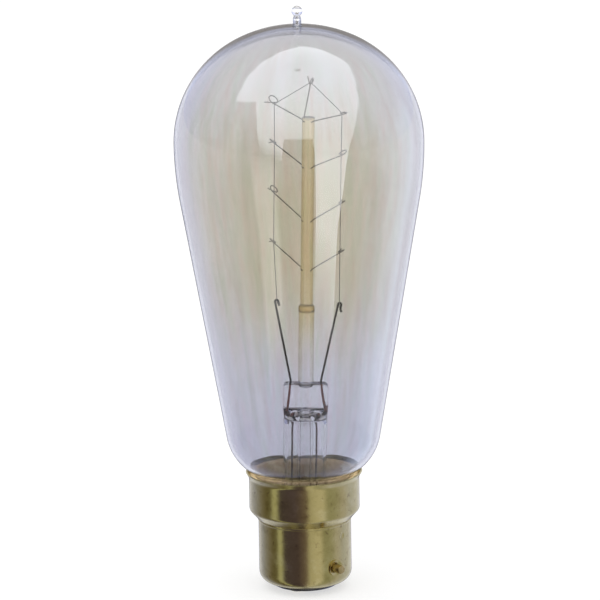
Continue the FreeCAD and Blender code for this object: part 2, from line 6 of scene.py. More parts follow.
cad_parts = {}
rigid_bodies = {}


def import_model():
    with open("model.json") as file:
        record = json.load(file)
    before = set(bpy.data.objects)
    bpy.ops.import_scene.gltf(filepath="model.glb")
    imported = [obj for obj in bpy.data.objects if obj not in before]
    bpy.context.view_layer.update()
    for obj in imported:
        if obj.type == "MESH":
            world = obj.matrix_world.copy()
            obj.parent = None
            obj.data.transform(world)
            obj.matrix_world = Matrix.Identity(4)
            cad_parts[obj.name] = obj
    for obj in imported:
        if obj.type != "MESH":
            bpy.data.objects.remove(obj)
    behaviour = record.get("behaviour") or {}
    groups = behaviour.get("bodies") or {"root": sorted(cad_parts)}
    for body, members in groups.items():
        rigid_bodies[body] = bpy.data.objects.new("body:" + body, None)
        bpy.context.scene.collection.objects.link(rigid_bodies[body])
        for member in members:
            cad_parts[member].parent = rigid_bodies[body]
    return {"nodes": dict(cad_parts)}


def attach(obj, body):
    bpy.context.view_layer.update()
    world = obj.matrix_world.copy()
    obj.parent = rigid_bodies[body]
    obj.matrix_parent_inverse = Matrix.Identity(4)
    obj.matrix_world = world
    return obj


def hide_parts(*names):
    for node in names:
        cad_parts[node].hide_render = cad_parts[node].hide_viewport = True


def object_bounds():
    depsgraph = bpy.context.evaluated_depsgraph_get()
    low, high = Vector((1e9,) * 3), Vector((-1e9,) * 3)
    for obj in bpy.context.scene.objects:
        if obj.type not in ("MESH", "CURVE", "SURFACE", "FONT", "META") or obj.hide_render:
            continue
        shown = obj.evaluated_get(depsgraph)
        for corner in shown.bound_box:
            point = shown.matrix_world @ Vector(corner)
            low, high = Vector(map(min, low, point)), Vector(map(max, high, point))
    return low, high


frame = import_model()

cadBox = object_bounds()
nodes = frame["nodes"]
scene = bpy.context.scene
mm = 0.001
pi = math.pi


# Shapes, drawn in millimetres

def arcPoints(centre, radius, start, end, count):
    # Points on an arc in the (radius, height) plane, angles from outwards towards up
    angles = [start + (end - start) * i / count for i in range(count + 1)]
    return [(centre[0] + radius * math.cos(a), centre[1] + radius * math.sin(a)) for a in angles]


def linePoints(start, end, count):
    return [tuple(a + (b - a) * i / count for a, b in zip(start, end)) for i in range(count + 1)]


def joined(*runs):
    # One run of points, without the ones that fall together where two runs meet
    points = []
    for run in runs:
        for point in run:
            if not points or math.dist(point, points[-1]) > 1e-4:
                points.append(point)
    return points


def smoothStep(low, high, value):
    share = min(max((value - low) / (high - low), 0), 1)
    return share * share * (3 - 2 * share)


def squareRing(wide, thick, power, height, segments):
    # An ellipse at power 2, and nearer to a rectangle at a higher one
    ring = []
    for i in range(segments):
        angle = 2 * pi * i / segments
        c, s = math.cos(angle), math.sin(angle)
        reach = (abs(c) ** power + abs(s) ** power) ** (-1 / power)
        ring.append((wide * reach * c, thick * reach * s, height))
    return ring


def skinned(name, runs, segments):
    # One mesh over runs of rings. A ring of a single point closes its run.
    verts, faces = [], []
    for rings in runs:
        rows = []
        for ring in rings:
            start = len(verts)
            verts.extend(ring)
            rows.append([start] * segments if len(ring) == 1 else list(range(start, start + segments)))
        for upper, lower in zip(rows, rows[1:]):
            for i in range(segments):
                j = (i + 1) % segments
                corners = [upper[i], lower[i], lower[j], upper[j]]
                faces.append([c for k, c in enumerate(corners) if c not in corners[:k]])
    mesh = bpy.data.meshes.new(name)
    mesh.from_pydata([Vector(v) * mm for v in verts], [], faces)
    mesh.update()
    mesh.polygons.foreach_set("use_smooth", [True] * len(mesh.polygons))
    made = bpy.data.objects.new(name, mesh)
    scene.collection.objects.link(made)
    return made


def lathe(name, profiles, segments):
    # Turns (radius, height) profiles about Z. A profile drawn downwards faces outwards.
    runs = [[[(0, 0, height)] if radius < 1e-6 else squareRing(radius, radius, 2, height, segments)
             for radius, height in profile] for profile in profiles]
    return skinned(name, runs, segments)


def wireAlong(name, points, radius):
    # Round wire through the points, closed at both ends
    sides = 12
    points = [Vector(p) for p in points]
    normal = None
    rings = [[points[0]]]
    for i, point in enumerate(points):
        ahead = (points[min(i + 1, len(points) - 1)] - points[max(i - 1, 0)]).normalized()
        normal = ahead.orthogonal() if normal is None else normal - ahead * normal.dot(ahead)
        normal.normalize()
        other = normal.cross(ahead)
        angles = [2 * pi * k / sides for k in range(sides)]
        rings.append([point + (normal * math.cos(a) + other * math.sin(a)) * radius for a in angles])
    rings.append([points[-1]])
    return skinned(name, [rings], sides)


def settle(made, material, slot, *replaced):
    made.data.materials.clear()
    made.data.materials.append(material)
    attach(made, "root")
    if replaced:
        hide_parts(*replaced)
    return made


# Materials

lampHeight = 0.134


class Graph:
    # A short way to write the nodes of a material, or of the world
    def __init__(self, name, world=None):
        self.owner = world or bpy.data.materials.new(name)
        self.owner.use_nodes = True
        self.tree = self.owner.node_tree
        self.tree.nodes.clear()

    def node(self, kind, inputs=None, **settings):
        made = self.tree.nodes.new(kind)
        for key, value in settings.items():
            setattr(made, key, value)
        for key, value in (inputs or {}).items():
            if isinstance(value, bpy.types.NodeSocket):
                self.tree.links.new(value, made.inputs[key])
            else:
                made.inputs[key].default_value = value
        return made

    def math(self, operation, a, b=0.0, clamp=False):
        return self.node("ShaderNodeMath", {0: a, 1: b}, operation=operation, use_clamp=clamp).outputs[0]

    def ramp(self, value, stops, mode="EASE"):
        made = self.node("ShaderNodeValToRGB", {"Fac": value})
        made.color_ramp.interpolation = mode
        ends = made.color_ramp.elements
        while len(ends) < len(stops):
            ends.new(0.5)
        for end, (place, colour) in zip(ends, sorted(stops)):
            end.position = place
            end.color = (*colour, 1) if isinstance(colour, tuple) else (colour, colour, colour, 1)
        return made.outputs["Color"]

    def mix(self, share, first, second, blend="MIX"):
        made = self.node("ShaderNodeMix", data_type="RGBA", blend_type=blend)
        for key, value in ((0, share), (6, first), (7, second)):
            if isinstance(value, bpy.types.NodeSocket):
                self.tree.links.new(value, made.inputs[key])
            elif key == 0:
                made.inputs[0].default_value = value
            else:
                made.inputs[key].default_value = (*value, 1)
        return made.outputs[2]

    def times(self, first, second):
        return self.mix(1.0, first, second, "MULTIPLY")

    def place(self):
        return self.node("ShaderNodeTexCoord").outputs["Object"]

    def split(self, vector):
        return self.node("ShaderNodeSeparateXYZ", {0: vector}).outputs

    def stretched(self, vector, scale):
        return self.node("ShaderNodeMapping", {"Vector": vector, "Scale": scale}).outputs[0]

    def facing(self):
        # 0 where the surface faces the eye, 1 where it is seen edge on
        return self.node("ShaderNodeLayerWeight", {"Blend": 0.5}).outputs["Facing"]

    def noise(self, vector, scale, detail=3.0, roughness=0.5, distortion=0.0):
        inputs = {"Vector": vector, "Scale": scale, "Detail": detail, "Roughness": roughness,
                  "Distortion": distortion}
        return self.node("ShaderNodeTexNoise", inputs).outputs["Fac"]

    def bump(self, height, strength, distance):
        inputs = {"Height": height, "Strength": strength, "Distance": distance}
        return self.node("ShaderNodeBump", inputs).outputs[0]

    def surface(self, **inputs):
        # Principled surface. Its inputs are named with _ for a space.
        named = {key.replace("_", " "): value for key, value in inputs.items()}
        return self.node("ShaderNodeBsdfPrincipled", named).outputs[0]

    def lampThrough(self, glass, dimmed):
        # Lamps light what stands behind the glass
        path = self.node("ShaderNodeLightPath")
        clear = self.node("ShaderNodeBsdfTransparent", {"Color": (dimmed, dimmed, dimmed, 1)})
        inputs = {0: path.outputs["Is Shadow Ray"], 1: glass, 2: clear.outputs[0]}
        return self.node("ShaderNodeMixShader", inputs).outputs[0]

    def finish(self, shader, kind="ShaderNodeOutputMaterial"):
        self.node(kind, {"Surface": shader})
        return self.owner


# The envelope's grey glass tint, with painted reflections (tan middle, lavender low down and at the edges,
# streaks) and painted dark outlines
envelopeTintAndPaintedLight = {
    "body": [(0.20, (0.64, 0.65, 0.735)), (0.34, (0.68, 0.685, 0.75)), (0.46, (0.69, 0.685, 0.70)),
             (0.60, (0.735, 0.725, 0.72)), (0.74, (0.755, 0.75, 0.76)), (0.88, (0.75, 0.75, 0.76))],
    "middle": (0.685, 0.655, 0.575), "middleHeights": [(0.36, 0.0), (0.50, 1.0), (0.68, 1.0), (0.86, 0.0)],
    "edge": (0.745, 0.74, 0.785), "paintedStreakDrift": 0.14,
    "paintedFineStreaks": [(0.35, (0.96, 0.955, 0.935)), (0.62, 1.0)],
    "hues": [(0.38, (1.0, 0.962, 0.955)), (0.5, 1.0), (0.62, (0.965, 0.99, 0.96))],
    "sideRim": [(0.80, 1.0), (0.90, (0.72, 0.70, 0.76)), (1.0, (0.16, 0.15, 0.19))],
    "crownRim": [(0.68, 1.0), (0.72, 0.30), (0.75, (0.62, 0.61, 0.60)), (1.0, (0.50, 0.50, 0.49))]}


def envelopeGlass():
    # Grey glass with painted reflections (tan round the middle, lavender towards the neck and at the edges)
    # and painted dark outlines
    g = Graph("envelopeGlass")
    place = g.place()
    parts = g.split(place)
    height = g.math("DIVIDE", parts[2], lampHeight)
    facing = g.facing()
    around = g.math("ARCTAN2", parts[1], parts[0])
    # Painted reflections: long streaks that run up the glass
    lines = g.node("ShaderNodeCombineXYZ", {0: g.math("SINE", around), 1: g.math("COSINE", around),
                                            2: g.math("MULTIPLY", parts[2], 5)}).outputs[0]
    paintedStreaks = g.math("SUBTRACT", g.noise(lines, 4.0, 3, 0.6), 0.5)
    level = g.math("ADD", height, g.math("MULTIPLY", paintedStreaks, envelopeTintAndPaintedLight["paintedStreakDrift"]))
    # Painted reflection: tan round the middle where the glass faces the eye, over a body ramp that paints a
    # lavender reflection towards the neck
    middle = g.math("MULTIPLY", g.ramp(facing, [(0.06, 1.0), (0.26, 0.0)]),
                    g.ramp(level, envelopeTintAndPaintedLight["middleHeights"]))
    body = g.mix(middle, g.ramp(level, envelopeTintAndPaintedLight["body"]), envelopeTintAndPaintedLight["middle"])
    # Painted reflections: fine streaks, and hues that change along them
    body = g.times(body, g.ramp(g.noise(lines, 9, 2, 0.5), envelopeTintAndPaintedLight["paintedFineStreaks"]))
    body = g.times(body, g.ramp(g.noise(lines, 16, 3, 0.6), envelopeTintAndPaintedLight["hues"]))
    # Painted reflection: lavender where the glass is seen more edge on
    tintAndPaintedLight = g.mix(g.ramp(facing, [(0.40, 0.0), (0.66, 1.0)]), body, envelopeTintAndPaintedLight["edge"])
    # Painted shade: a dark outline at the sides and a dark line inside the crown's edge
    rim = g.mix(g.ramp(height, [(0.86, 0.0), (0.955, 1.0)]), g.ramp(facing, envelopeTintAndPaintedLight["sideRim"]),
                g.ramp(facing, envelopeTintAndPaintedLight["crownRim"]))
    ripple = g.bump(g.noise(g.stretched(place, (110, 110, 25)), 1.0, 2, 0.5), 0.25, 0.00006)
    glass = g.surface(Base_Color=g.times(tintAndPaintedLight, rim), Roughness=0.0, IOR=1.5, Transmission_Weight=1.0,
                      Normal=ripple)
    return g.finish(g.lampThrough(glass, 0.88))


def clearGlass(name, low, high):
    g = Graph(name)
    place = g.place()
    cloud = g.ramp(g.noise(g.stretched(place, (300, 300, 90)), 1.0, 2, 0.5), [(0.3, low), (0.7, high)])
    # Painted shade: the glass is darker where it is seen edge on
    tintAndPaintedLight = g.times(cloud, g.ramp(g.facing(), [(0.7, 1.0), (1.0, 0.75)]))
    ripple = g.bump(g.noise(g.stretched(place, (500, 500, 200)), 1.0, 2, 0.5), 0.3, 0.0001)
    glass = g.surface(Base_Color=tintAndPaintedLight, Roughness=0.0, IOR=1.5, Transmission_Weight=1.0, Normal=ripple)
    return g.finish(g.lampThrough(glass, 0.95))


amber = {"full": (1.0, 0.89, 0.66), "cutEnd": (0.80, 0.78, 0.66),
         # The bands are painted light: a bright stripe inside the rod and olive shade towards its edges
         "paintedLightBands": [(0.0, (0.90, 0.86, 0.80)), (0.02, 1.0), (0.10, 1.0), (0.20, (0.78, 0.77, 0.68)),
                   (0.45, (0.70, 0.69, 0.60)), (1.0, (0.58, 0.57, 0.49))]}


def amberGlass(name, low, high, pale):
    # Drawn rod, with a painted highlight inside and painted olive shade along its sides. It turns amber
    # between two heights, and above the last one it is pale, where the rod was cut.
    g = Graph(name)
    place = g.place()
    height = g.math("DIVIDE", g.split(place)[2], lampHeight)
    # Painted highlight and shade, by how edge on the rod is seen
    tintAndPaintedLight = g.times(g.ramp(height, [(low, 1.0), (high, amber["full"])]), g.ramp(g.facing(), amber["paintedLightBands"]))
    cloud = g.ramp(g.noise(g.stretched(place, (700, 700, 60)), 1.0, 2, 0.5), [(0.3, 0.95), (0.7, 1.0)])
    cut = g.ramp(height, [(pale - 0.001, 0.0), (pale, 1.0)])
    glass = g.surface(Base_Color=g.mix(cut, g.times(tintAndPaintedLight, cloud), amber["cutEnd"]), IOR=1.5,
                      Roughness=g.math("MULTIPLY", cut, 0.4),
                      Transmission_Weight=g.math("SUBTRACT", 1.0, g.math("MULTIPLY", cut, 0.75)))
    return g.finish(g.lampThrough(glass, 0.95))


def metal(name, low, high, roughness, grain=900.0, tarnish=None):
    g = Graph(name)
    place = g.place()
    cloud = g.noise(place, grain, 4, 0.6)
    colour = g.ramp(cloud, [(0.35, low), (0.65, high)])
    if tarnish:
        patches = g.noise(place, grain * 0.25, 5, 0.65, 0.4)
        colour = g.mix(g.ramp(patches, [(0.45, 0.0), (0.75, 1.0)]), colour, tarnish)
    rough = g.ramp(cloud, [(0.3, roughness[0]), (0.7, roughness[1])])
    bumps = g.bump(g.noise(place, grain * 2.5, 3, 0.6), 0.4, 0.00002)
    return g.finish(g.surface(Base_Color=colour, Metallic=1.0, Roughness=rough, Normal=bumps))


capBrass = {"colours": [(0.28, (0.46, 0.38, 0.15)), (0.5, (0.58, 0.49, 0.21)), (0.72, (0.66, 0.57, 0.28))],
            "spots": (0.22, 0.13, 0.055), "roughness": [(0.3, 0.13), (0.7, 0.25)]}


def brassMetal():
    # Old lacquered brass, with fine lines from spinning and small brown spots
    g = Graph("capBrass")
    place = g.place()
    parts = g.split(place)
    around = g.math("ARCTAN2", parts[1], parts[0])
    spun = g.node("ShaderNodeCombineXYZ", {0: around, 2: g.math("MULTIPLY", parts[2], 900)}).outputs[0]
    lines = g.noise(spun, 2.2, 5, 0.7)
    cloud = g.noise(place, 260, 5, 0.62, 0.3)
    spots = g.ramp(g.noise(place, 700, 4, 0.6, 0.5), [(0.58, 0.0), (0.74, 0.55)])
    colour = g.mix(spots, g.ramp(cloud, capBrass["colours"]), capBrass["spots"])
    wear = g.math("ADD", g.math("MULTIPLY", cloud, 0.6), g.math("MULTIPLY", lines, 0.4))
    bumps = g.bump(g.math("ADD", g.math("MULTIPLY", lines, 0.5), cloud), 0.35, 0.00006)
    return g.finish(g.surface(Base_Color=colour, Metallic=1.0, Roughness=g.ramp(wear, capBrass["roughness"]),
                              Normal=bumps))


def dull(name, low, high, roughness, grain, depth, coat=0.0):
    g = Graph(name)
    place = g.place()
    cloud = g.noise(place, grain, 5, 0.6)
    bumps = g.bump(g.noise(place, grain * 3, 4, 0.6), 0.5, depth)
    colour = g.ramp(cloud, [(0.3, low), (0.7, high)])
    rough = g.ramp(cloud, [(0.3, roughness[0]), (0.7, roughness[1])])
    return g.finish(g.surface(Base_Color=colour, Roughness=rough, Normal=bumps, Coat_Weight=coat))


looks = {
    "envelope": envelopeGlass(),
    "stem": clearGlass("stemGlass", low=(0.985, 0.985, 0.99), high=(1.0, 1.0, 1.0)),
    "rod": amberGlass("amberRod", low=0.33, high=0.46, pale=0.8012),
    "column": amberGlass("amberColumn", low=0.37, high=0.46, pale=0.99),
    "brass": brassMetal(),
    "anchor": metal("anchorMetal", low=(0.34, 0.33, 0.30), high=(0.56, 0.54, 0.50), roughness=(0.35, 0.55)),
    "filament": dull("carbon", low=(0.22, 0.215, 0.21), high=(0.36, 0.35, 0.34), roughness=(0.45, 0.7),
                     grain=2500, depth=0.00001),
    "lead": metal("leadMetal", low=(0.025, 0.024, 0.02), high=(0.07, 0.065, 0.055), roughness=(0.3, 0.55),
                  grain=1200, tarnish=(0.02, 0.015, 0.012)),
    "seal": metal("sealMetal", low=(0.15, 0.045, 0.035), high=(0.27, 0.09, 0.06), roughness=(0.3, 0.5),
                  grain=1200),
    "tail": metal("tailMetal", low=(0.06, 0.035, 0.03), high=(0.15, 0.09, 0.07), roughness=(0.3, 0.5),
                  grain=1200),
    "insulator": dull("blackGlass", low=(0.012, 0.012, 0.010), high=(0.030, 0.030, 0.025),
                      roughness=(0.12, 0.3), grain=500, depth=0.00003, coat=0.3),
    "cement": dull("cement", low=(0.60, 0.44, 0.22), high=(0.84, 0.65, 0.37), roughness=(0.8, 0.95),
                   grain=900, depth=0.0001),
    "solder": metal("solder", low=(0.42, 0.42, 0.43), high=(0.68, 0.68, 0.69), roughness=(0.25, 0.45),
                    grain=700, tarnish=(0.25, 0.25, 0.26)),
    "contact": metal("contactBrass", low=(0.45, 0.34, 0.14), high=(0.66, 0.52, 0.25), roughness=(0.25, 0.42),
                     grain=700, tarnish=(0.25, 0.16, 0.07)),
}
print("materials made")


# Glass bulb. Sizes of the lamp's pieces are the same as those of the solids they stand for.

bulb = {"radius": 29.3, "widest": 101.5, "shoulderOffset": 2.2, "crownDrop": 4.6, "flankRadius": 79.0,
        "coneAngle": math.radians(9.8), "heelRadius": 12.0, "neckRadius": 11.8, "neckFillet": 2.5,
        "neckRim": 13.2, "neckLength": 7.05, "wall": 0.8,
        "crownExtra": 0.35, "crownFrom": 112, "crownTop": 129}


def bulbProfile(inset, count):
    # From the crown down: two arcs, the flank, a cone, the heel, the fillet and the neck
    slope = bulb["coneAngle"]
    outwards = Vector((math.cos(slope), -math.sin(slope)))
    downwards = Vector((-math.sin(slope), -math.cos(slope)))
    shoulder = (bulb["shoulderOffset"], bulb["widest"])
    crown = (0, bulb["widest"] - bulb["crownDrop"])
    shoulderRadius = bulb["radius"] - bulb["shoulderOffset"]
    crownRadius = shoulderRadius + math.hypot(bulb["shoulderOffset"], bulb["crownDrop"])
    crownTurn = math.atan2(bulb["crownDrop"], bulb["shoulderOffset"])
    flank = (bulb["radius"] - bulb["flankRadius"], bulb["widest"])
    coneTop = Vector(flank) + outwards * bulb["flankRadius"]
    # The heel is tangent to the cone and to the fillet
    fillet = Vector((bulb["neckRadius"] + bulb["neckFillet"], bulb["neckRim"] + bulb["neckLength"]))
    start = coneTop - outwards * bulb["heelRadius"]
    ahead = (fillet - start).dot(downwards)
    aside = (fillet - start).dot(outwards)
    between = bulb["heelRadius"] + bulb["neckFillet"]
    coneFoot = coneTop + downwards * (ahead - math.sqrt(between ** 2 - aside ** 2))
    heel = coneFoot - outwards * bulb["heelRadius"]
    heelEnd = math.atan2(fillet.y - heel.y, fillet.x - heel.x)
    neck = bulb["neckRadius"] - inset
    return joined(
        [(0, crown[1] + crownRadius - inset)],
        arcPoints(crown, crownRadius - inset, pi / 2 - 0.004, crownTurn, count),
        arcPoints(shoulder, shoulderRadius - inset, crownTurn, 0, count),
        arcPoints(flank, bulb["flankRadius"] - inset, 0, -slope, count // 2),
        linePoints(coneTop - outwards * inset, coneFoot - outwards * inset, count),
        arcPoints(heel, bulb["heelRadius"] - inset, -slope, heelEnd, count),
        arcPoints(fillet, bulb["neckFillet"] + inset, pi + heelEnd, pi, count // 3),
        linePoints((neck, fillet.y), (neck, bulb["neckRim"]), 6))


def makeEnvelope():
    # The wall is a little thicker at the crown
    def lowered(z):
        return z - bulb["crownExtra"] * smoothStep(bulb["crownFrom"], bulb["crownTop"], z)

    inner = [(r, lowered(z)) for r, z in bulbProfile(bulb["wall"], 36)]
    return lathe("glassBulb", [joined(bulbProfile(0, 36), inner[::-1])], 256)


# Tip: the neck goes by (radius, depth below the bead), the foot by (radius, height above the crown)
tip = {"top": 133.9, "bead": 1.27, "join": 0.78, "crown": 129.12,
       "neck": [(0.76, 0.12), (0.80, 0.3), (0.93, 0.55), (0.97, 0.8)],
       "foot": [(0.97, 0.3), (1.02, 0.12), (1.1, 0.02), (1.1, -0.2), (0, -0.3)]}


def makeTip():
    # Round bead on a drawn neck with a pinch between them
    centre = tip["top"] - tip["bead"]
    join = math.asin(tip["join"] / tip["bead"])
    under = centre - tip["bead"] * math.cos(join)
    profile = joined(
        [(0, tip["top"])], arcPoints((0, centre), tip["bead"], pi / 2 - 0.02, join - pi / 2, 24),
        [(r, under - depth) for r, depth in tip["neck"]],
        [(r, tip["crown"] + rise) for r, rise in tip["foot"]])
    return lathe("tipGlass", [profile], 64)


# Stem: everything that stands on it leans and turns with it
stem = {"lean": math.radians(1.4), "turn": math.radians(50), "tubeRadius": 5.2, "tubeWall": 0.8,
        "rimOverlap": 0.5, "flareLift": 0.8}
press = {"foot": 35.0, "top": 43.4, "thickness": 4.6, "spread": 0.1, "squeezeFrom": 0.2, "squeezeTo": 2.2,
         "squareness": 2.2, "edge": 0.9}
pinch = {"foot": -0.2, "rise": 1.1, "narrowing": 0.25, "slit": 0.3}


def onStem(made):
    foot = bulb["neckRim"] * mm
    lean = (Matrix.Translation((0, 0, foot)) @ Matrix.Rotation(stem["lean"], 4, "Y")
            @ Matrix.Translation((0, 0, -foot)))
    made.data.transform(Matrix.Rotation(stem["turn"], 4, "Z") @ lean)
    return made


def pressSection(height):
    # Half width, half thickness and squareness of the press at a height
    foot, top, edge = press["foot"], press["top"], press["edge"]
    squeeze = smoothStep(foot + press["squeezeFrom"], foot + press["squeezeTo"], height)
    wide = stem["tubeRadius"] + press["spread"] * squeeze
    thick = stem["tubeRadius"] * (1 - squeeze) + press["thickness"] / 2 * squeeze
    nearTop = max(height - (top - edge), 0) / edge
    inset = edge * (1 - math.sqrt(max(1 - nearTop * nearTop, 0)))
    return wide - inset, thick - inset, 2 + press["squareness"] * squeeze


def makeStemGlass():
    # Flare, tube and press as one body of glass, hollow up to the pinch
    segments = 96
    tube, bore = stem["tubeRadius"], stem["tubeRadius"] - stem["tubeWall"]
    foot, top = press["foot"], press["top"]
    rim = bulb["neckRadius"] - bulb["wall"] + stem["rimOverlap"]
    spread = rim - tube
    under = spread + stem["tubeWall"]
    bend = (rim, bulb["neckRim"] + stem["flareLift"] + under)
    rings = [[(0, 0, top)]]
    steps = 40
    for i in range(1, steps + 1):
        # The rings are closer together at the rounded top
        height = top - (top - foot) * (i / steps) ** 1.3
        wide, thick, power = pressSection(height)
        rings.append(squareRing(wide, thick, power, height, segments))
    outer = joined(linePoints((tube, foot - 0.5), (tube, bend[1]), 8),
                   arcPoints(bend, spread, pi, 1.5 * pi, 14))
    inner = joined(arcPoints(bend, under, 1.5 * pi, pi, 14),
                   linePoints((bore, bend[1]), (bore, foot + pinch["foot"]), 8))
    for radius, height in outer + inner:
        rings.append(squareRing(radius, radius, 2, height, segments))
    for i in range(1, 10):
        # The bore closes as a flat wedge
        share = i / 10
        wide = bore * (1 - pinch["narrowing"] * share) * math.sqrt(1 - share ** 3)
        thick = bore * (1 - smoothStep(0, 1, share)) + pinch["slit"] * (1 - share)
        rings.append(squareRing(wide, thick, 2, foot + pinch["foot"] + pinch["rise"] * share, segments))
    rings.append([(0, 0, foot + pinch["foot"] + pinch["rise"])])
    return onStem(skinned("stemGlass", [rings], segments))


exhaust = {"radius": 1.95, "bore": 1.15, "drop": 7.2, "rise": 2.0, "sealed": 3.9}


def makeExhaust():
    # Thin tube from the press down into the cap, melted shut at its lower end
    radius, bore = exhaust["radius"], exhaust["bore"]
    low = bulb["neckRim"] - exhaust["drop"]
    bend = low + exhaust["sealed"]
    top = press["foot"] + exhaust["rise"]
    outside = joined([(0, top + 0.6)], arcPoints((0, top), 0.6, pi / 2 - 0.05, 0.3, 3),
                     [(radius * 0.8, top - 0.2)],
                     linePoints((radius, top - 0.5), (radius, bend), 12),
                     arcPoints((0, bend), radius, 0, -0.9, 8), [(0.5, low + 0.6), (0, low + 0.3)])
    inside = joined([(0, low + 2.8)], arcPoints((0, bend), bore, -pi / 2 + 0.1, 0, 8),
                    linePoints((bore, bend), (bore, top - 1.1), 12),
                    arcPoints((0, top - 1.1), bore, 0, pi / 2 - 0.1, 8), [(0, top)])
    return onStem(lathe("exhaustGlass", [outside, inside], 48))


rod = {"radius": 1.5, "top": 107.54, "seat": 1.3, "edge": 0.35}
column = {"radius": 1.85, "collar": 1.95, "top": 62.0, "seat": 0.8, "shoulder": 0.2}


def makeColumn():
    # Clear column with a small collar, melted round the rod's foot
    radius, collar, top = column["radius"], column["collar"], column["top"]
    foot = press["top"] - column["seat"]
    outside = joined([(0, top + 0.3), (rod["radius"] * 0.9, top + 0.3)],
                     arcPoints((rod["radius"] - 0.1, top - column["shoulder"]), 0.5, pi / 2, 0.1, 8),
                     linePoints((collar, top - 0.6), (collar, top - 1.0), 3),
                     linePoints((collar, top - 1.0), (radius, top - 1.9), 5),
                     linePoints((radius, top - 1.9), (radius, foot), 20), [(0, foot)])
    return onStem(lathe("columnGlass", [outside], 64))


def makeRod():
    radius, edge, top = rod["radius"], rod["edge"], rod["top"]
    foot = column["top"] - rod["seat"]
    profile = joined([(0, top)], arcPoints((radius - edge, top - edge), edge, pi / 2, 0, 8),
                     linePoints((radius, top - edge), (radius, foot + edge), 24),
                     arcPoints((radius - edge, foot + edge), edge, 0, -pi / 2, 6), [(0, foot)])
    return onStem(lathe("rodGlass", [profile], 64))


# Cement: the crest goes by (distance in from the skirt, height above the neck's straight part)
cement = {"clear": 0.01, "skirt": 0.94, "rise": 0.5, "upGlass": 0.36,
          "crest": [(0.55, 0.72), (0.25, 0.64), (0, 0.75)]}


def makeCement():
    # Ring between neck and skirt, drawn up a little on both
    neck, skirt = bulb["neckRadius"] + cement["clear"], bulb["neckRadius"] + cement["skirt"]
    foot, bend = bulb["neckRim"] + cement["rise"], bulb["neckRim"] + bulb["neckLength"]
    centre = (bulb["neckRadius"] + bulb["neckFillet"], bend)
    side = arcPoints(centre, bulb["neckFillet"] - cement["clear"], pi, pi - cement["upGlass"], 6)
    crest = [(skirt - inwards, bend + rise) for inwards, rise in cement["crest"]]
    return lathe("neckCement", [[side[-1], *crest, (skirt, foot), (neck, foot), *side]], 128)


# Anchor wires whose eyes stand open to the camera, or end in a fork. The filament passes each arm a
# little to one side, and bears on the inside of the eye. An eye is tipped up about its arm, in degrees,
# and its tail droops or rises as a share of its run.
anchors = {
    "wire": 0.15, "buried": 1.0, "planeTurn": math.radians(-27), "rows": (106.74, 95.83, 83.11, 71.3),
    "reach": {"left": 8.65, "right": 8.4}, "filamentSide": 0.72, "bearing": 0.25,
    "curl": math.radians(325), "climb": 0.4,
    "eyes": {"left_1": {"rise": 3.0, "radius": 1.15, "tipped": 60, "tail": 3.7, "droop": 0.05},
             "left_2": {"rise": 4.3, "radius": 0.85, "tipped": 25, "tail": 2.6, "droop": -0.75},
             "left_3": {"rise": 5.1, "radius": 1.0, "tipped": 57, "tail": 2.7, "droop": 0.1},
             "left_4": {"rise": 5.0, "radius": 0.8, "tipped": 25, "tail": 2.2, "droop": -0.8},
             "right_2": {"rise": 3.3, "radius": 0.85, "tipped": 22, "tail": 1.2, "droop": 0.0}}}


def makeAnchor(place):
    eye = anchors["eyes"][place]
    side, row = place.split("_")
    radius, tipped, curl = eye["radius"], math.radians(eye["tipped"]), anchors["curl"]
    away = Vector((math.cos(anchors["planeTurn"]), math.sin(anchors["planeTurn"]), 0))
    away *= 1 if side == "right" else -1
    run = anchors["reach"][side] - rod["radius"]
    arm = (away * run + Vector((0, 0, eye["rise"]))).normalized()
    level = Vector((0, 0, 1)).cross(away)
    up = arm.cross(level)
    across = level * math.cos(tipped) + up * math.sin(tipped)
    normal = arm.cross(across)
    # Where the upright filament bears on the eye, on the side of the rod
    offCentre = anchors["filamentSide"] / (radius * math.cos(tipped)) - 1
    bearing = radius * math.sqrt(max(1 - offCentre * offCentre, 0.1)) - anchors["bearing"]
    root = away * rod["radius"] + Vector((0, 0, anchors["rows"][int(row) - 1]))
    start = root + arm * (math.hypot(run, eye["rise"]) + bearing)
    centre = start + across * radius
    points = linePoints(root - arm * anchors["buried"], start, 12)[:-1]
    steps = 40
    for i in range(steps + 1):
        angle = curl * i / steps
        points.append(centre + (arm * math.sin(angle) - across * math.cos(angle)) * radius
                      + normal * (anchors["climb"] * angle / (2 * pi)))
    # The tail leaves the eye straight ahead and then bends up or down
    ahead = arm * math.cos(curl) + across * math.sin(curl)
    bent = (ahead + up * eye["droop"]).normalized()
    for i in range(1, 7):
        points.append(points[-1] + ahead.lerp(bent, min(i / 3, 1)).normalized() * (eye["tail"] / 6))
    return onStem(wireAlong("anchorWire_" + place, points, anchors["wire"]))


for place in anchors["eyes"]:
    settle(makeAnchor(place), looks["anchor"], "anchor_wire", "anchor_" + place)
settle(makeEnvelope(), looks["envelope"], "clear_glass", "glass_envelope")
settle(makeTip(), looks["stem"], "clear_glass", "dome_tip")
settle(makeStemGlass(), looks["stem"], "clear_glass", "stem_flare", "stem_press")
settle(makeExhaust(), looks["stem"], "clear_glass", "exhaust_tube")
settle(makeColumn(), looks["column"], "clear_glass", "stem_column")
settle(makeRod(), looks["rod"], "clear_glass", "arbor_rod")
settle(makeCement(), looks["cement"], "cement", "cap_cement")
print("anchors, glass and cement made")


